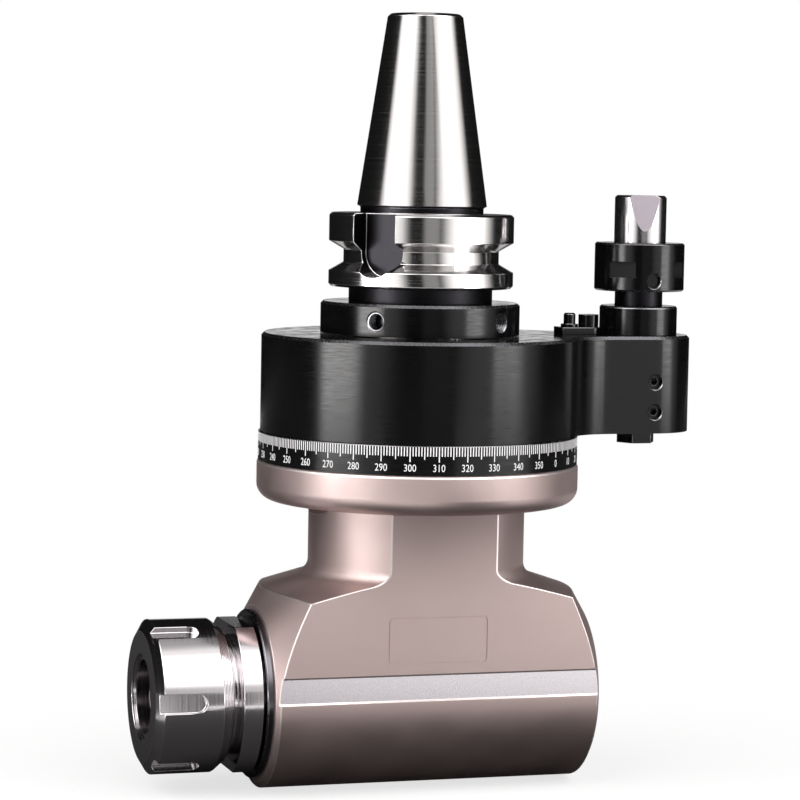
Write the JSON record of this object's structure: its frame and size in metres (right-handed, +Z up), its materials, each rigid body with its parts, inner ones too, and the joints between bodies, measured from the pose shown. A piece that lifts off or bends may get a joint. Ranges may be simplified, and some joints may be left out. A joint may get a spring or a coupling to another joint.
{
  "type": "right angle milling head",
  "caption": "Right angle milling head with a taper shank, a swivelling stop housing with a sprung pin, a graduated ring, and a level spindle with a collet nut driven by bevel gears.",
  "frame": {"origin": "centre of the shank taper's gauge plane, on the shank axis", "axes": "+Z up the shank towards the pull stud, -X along the spindle towards the collet nut, +X towards the stop arm, -Y out of the flat with the ground strip"},
  "size_m": [0.1937, 0.11, 0.2624],
  "materials": {
    "ground_steel": "hardened steel, finely ground, bright",
    "polished_steel": "hardened steel, turned and polished",
    "black_oxide": "turned steel, black oxide, satin",
    "scale_black": "turned ring, black oxide, white filled graduation",
    "nickel_plate": "bead blasted steel, satin nickel plate",
    "bearing_steel": "ground bearing steel",
    "spring_steel": "drawn spring wire",
    "seal_rubber": "moulded nitrile rubber"
  },
  "bodies": {
    "head": {"head_body": "nickel_plate", "scale_ring": "scale_black", "clamp_shoes": "black_oxide", "clamp_screws": "black_oxide", "main_bearing_outer_race": "bearing_steel", "lower_bearing_outer_race": "bearing_steel", "bearing_retainer": "bearing_steel", "input_seal": "seal_rubber", "lower_bearing_clip": "bearing_steel", "nose_gland": "black_oxide", "nose_seal": "seal_rubber", "front_bearing_outer_race": "bearing_steel", "second_bearing_outer_race": "bearing_steel", "rear_bearing_outer_race": "bearing_steel", "rear_cover": "nickel_plate", "rear_cover_screws": "black_oxide"},
    "shank": {"taper_shank": "ground_steel", "positioning_collar": "black_oxide", "collar_set_screws": "black_oxide", "main_bearing_inner_race": "bearing_steel", "lower_bearing_inner_race": "bearing_steel", "shaft_spacer": "bearing_steel", "input_bevel_gear": "bearing_steel", "input_gear_key": "bearing_steel", "gear_washer": "bearing_steel", "gear_end_screw": "bearing_steel"},
    "spindle": {"output_spindle": "ground_steel", "front_bearing_inner_race": "bearing_steel", "second_bearing_inner_race": "bearing_steel", "rear_bearing_inner_race": "bearing_steel", "spindle_sleeve": "bearing_steel", "spindle_locknut": "bearing_steel", "output_bevel_gear": "bearing_steel", "output_gear_key": "bearing_steel"},
    "closing_ring": {"nut_closing_ring": "polished_steel"},
    "nut": {"collet_nut": "polished_steel"},
    "stop": {"stop_housing": "black_oxide", "pin_guide_sleeve": "black_oxide", "latch_plate": "black_oxide", "latch_post": "ground_steel", "latch_plate_screw": "black_oxide", "arm_set_screws": "black_oxide", "spring_plug": "black_oxide", "pin_spring": "spring_steel"},
    "pin": {"stop_pin": "ground_steel", "pin_collar": "black_oxide", "pin_collar_screw": "black_oxide"}
  },
  "joints": [
    {"name": "shank_turn", "type": "hinge", "parent": "head", "child": "shank", "pos_m": [0, 0, 0], "axis": [0, 0, 1], "continuous": true},
    {"name": "spindle_turn", "type": "hinge", "parent": "head", "child": "spindle", "pos_m": [0, 0, -0.165], "axis": [1, 0, 0], "continuous": true},
    {"name": "nut_travel", "type": "slide", "parent": "spindle", "child": "closing_ring", "axis": [-1, 0, 0], "range_m": [0, 0.00901]},
    {"name": "nut_turn", "type": "hinge", "parent": "closing_ring", "child": "nut", "pos_m": [-0.082, 0, -0.165], "axis": [-1, 0, 0], "range_deg": [0, 2160]},
    {"name": "housing_swivel", "type": "hinge", "parent": "head", "child": "stop", "pos_m": [0, 0, -0.06], "axis": [0, 0, 1], "continuous": true},
    {"name": "pin_slide", "type": "slide", "parent": "stop", "child": "pin", "axis": [0, 0, -1], "range_m": [0, 0.005], "stiffness_N_per_m": 2000, "springref_m": -0.004, "deforming": ["pin_spring"]}
  ],
  "couplings": [
    {"joint": "spindle_turn", "follows": "shank_turn", "ratio": 1},
    {"joint": "nut_travel", "follows": "nut_turn", "m_per_rad": 0.00023873}
  ]
}
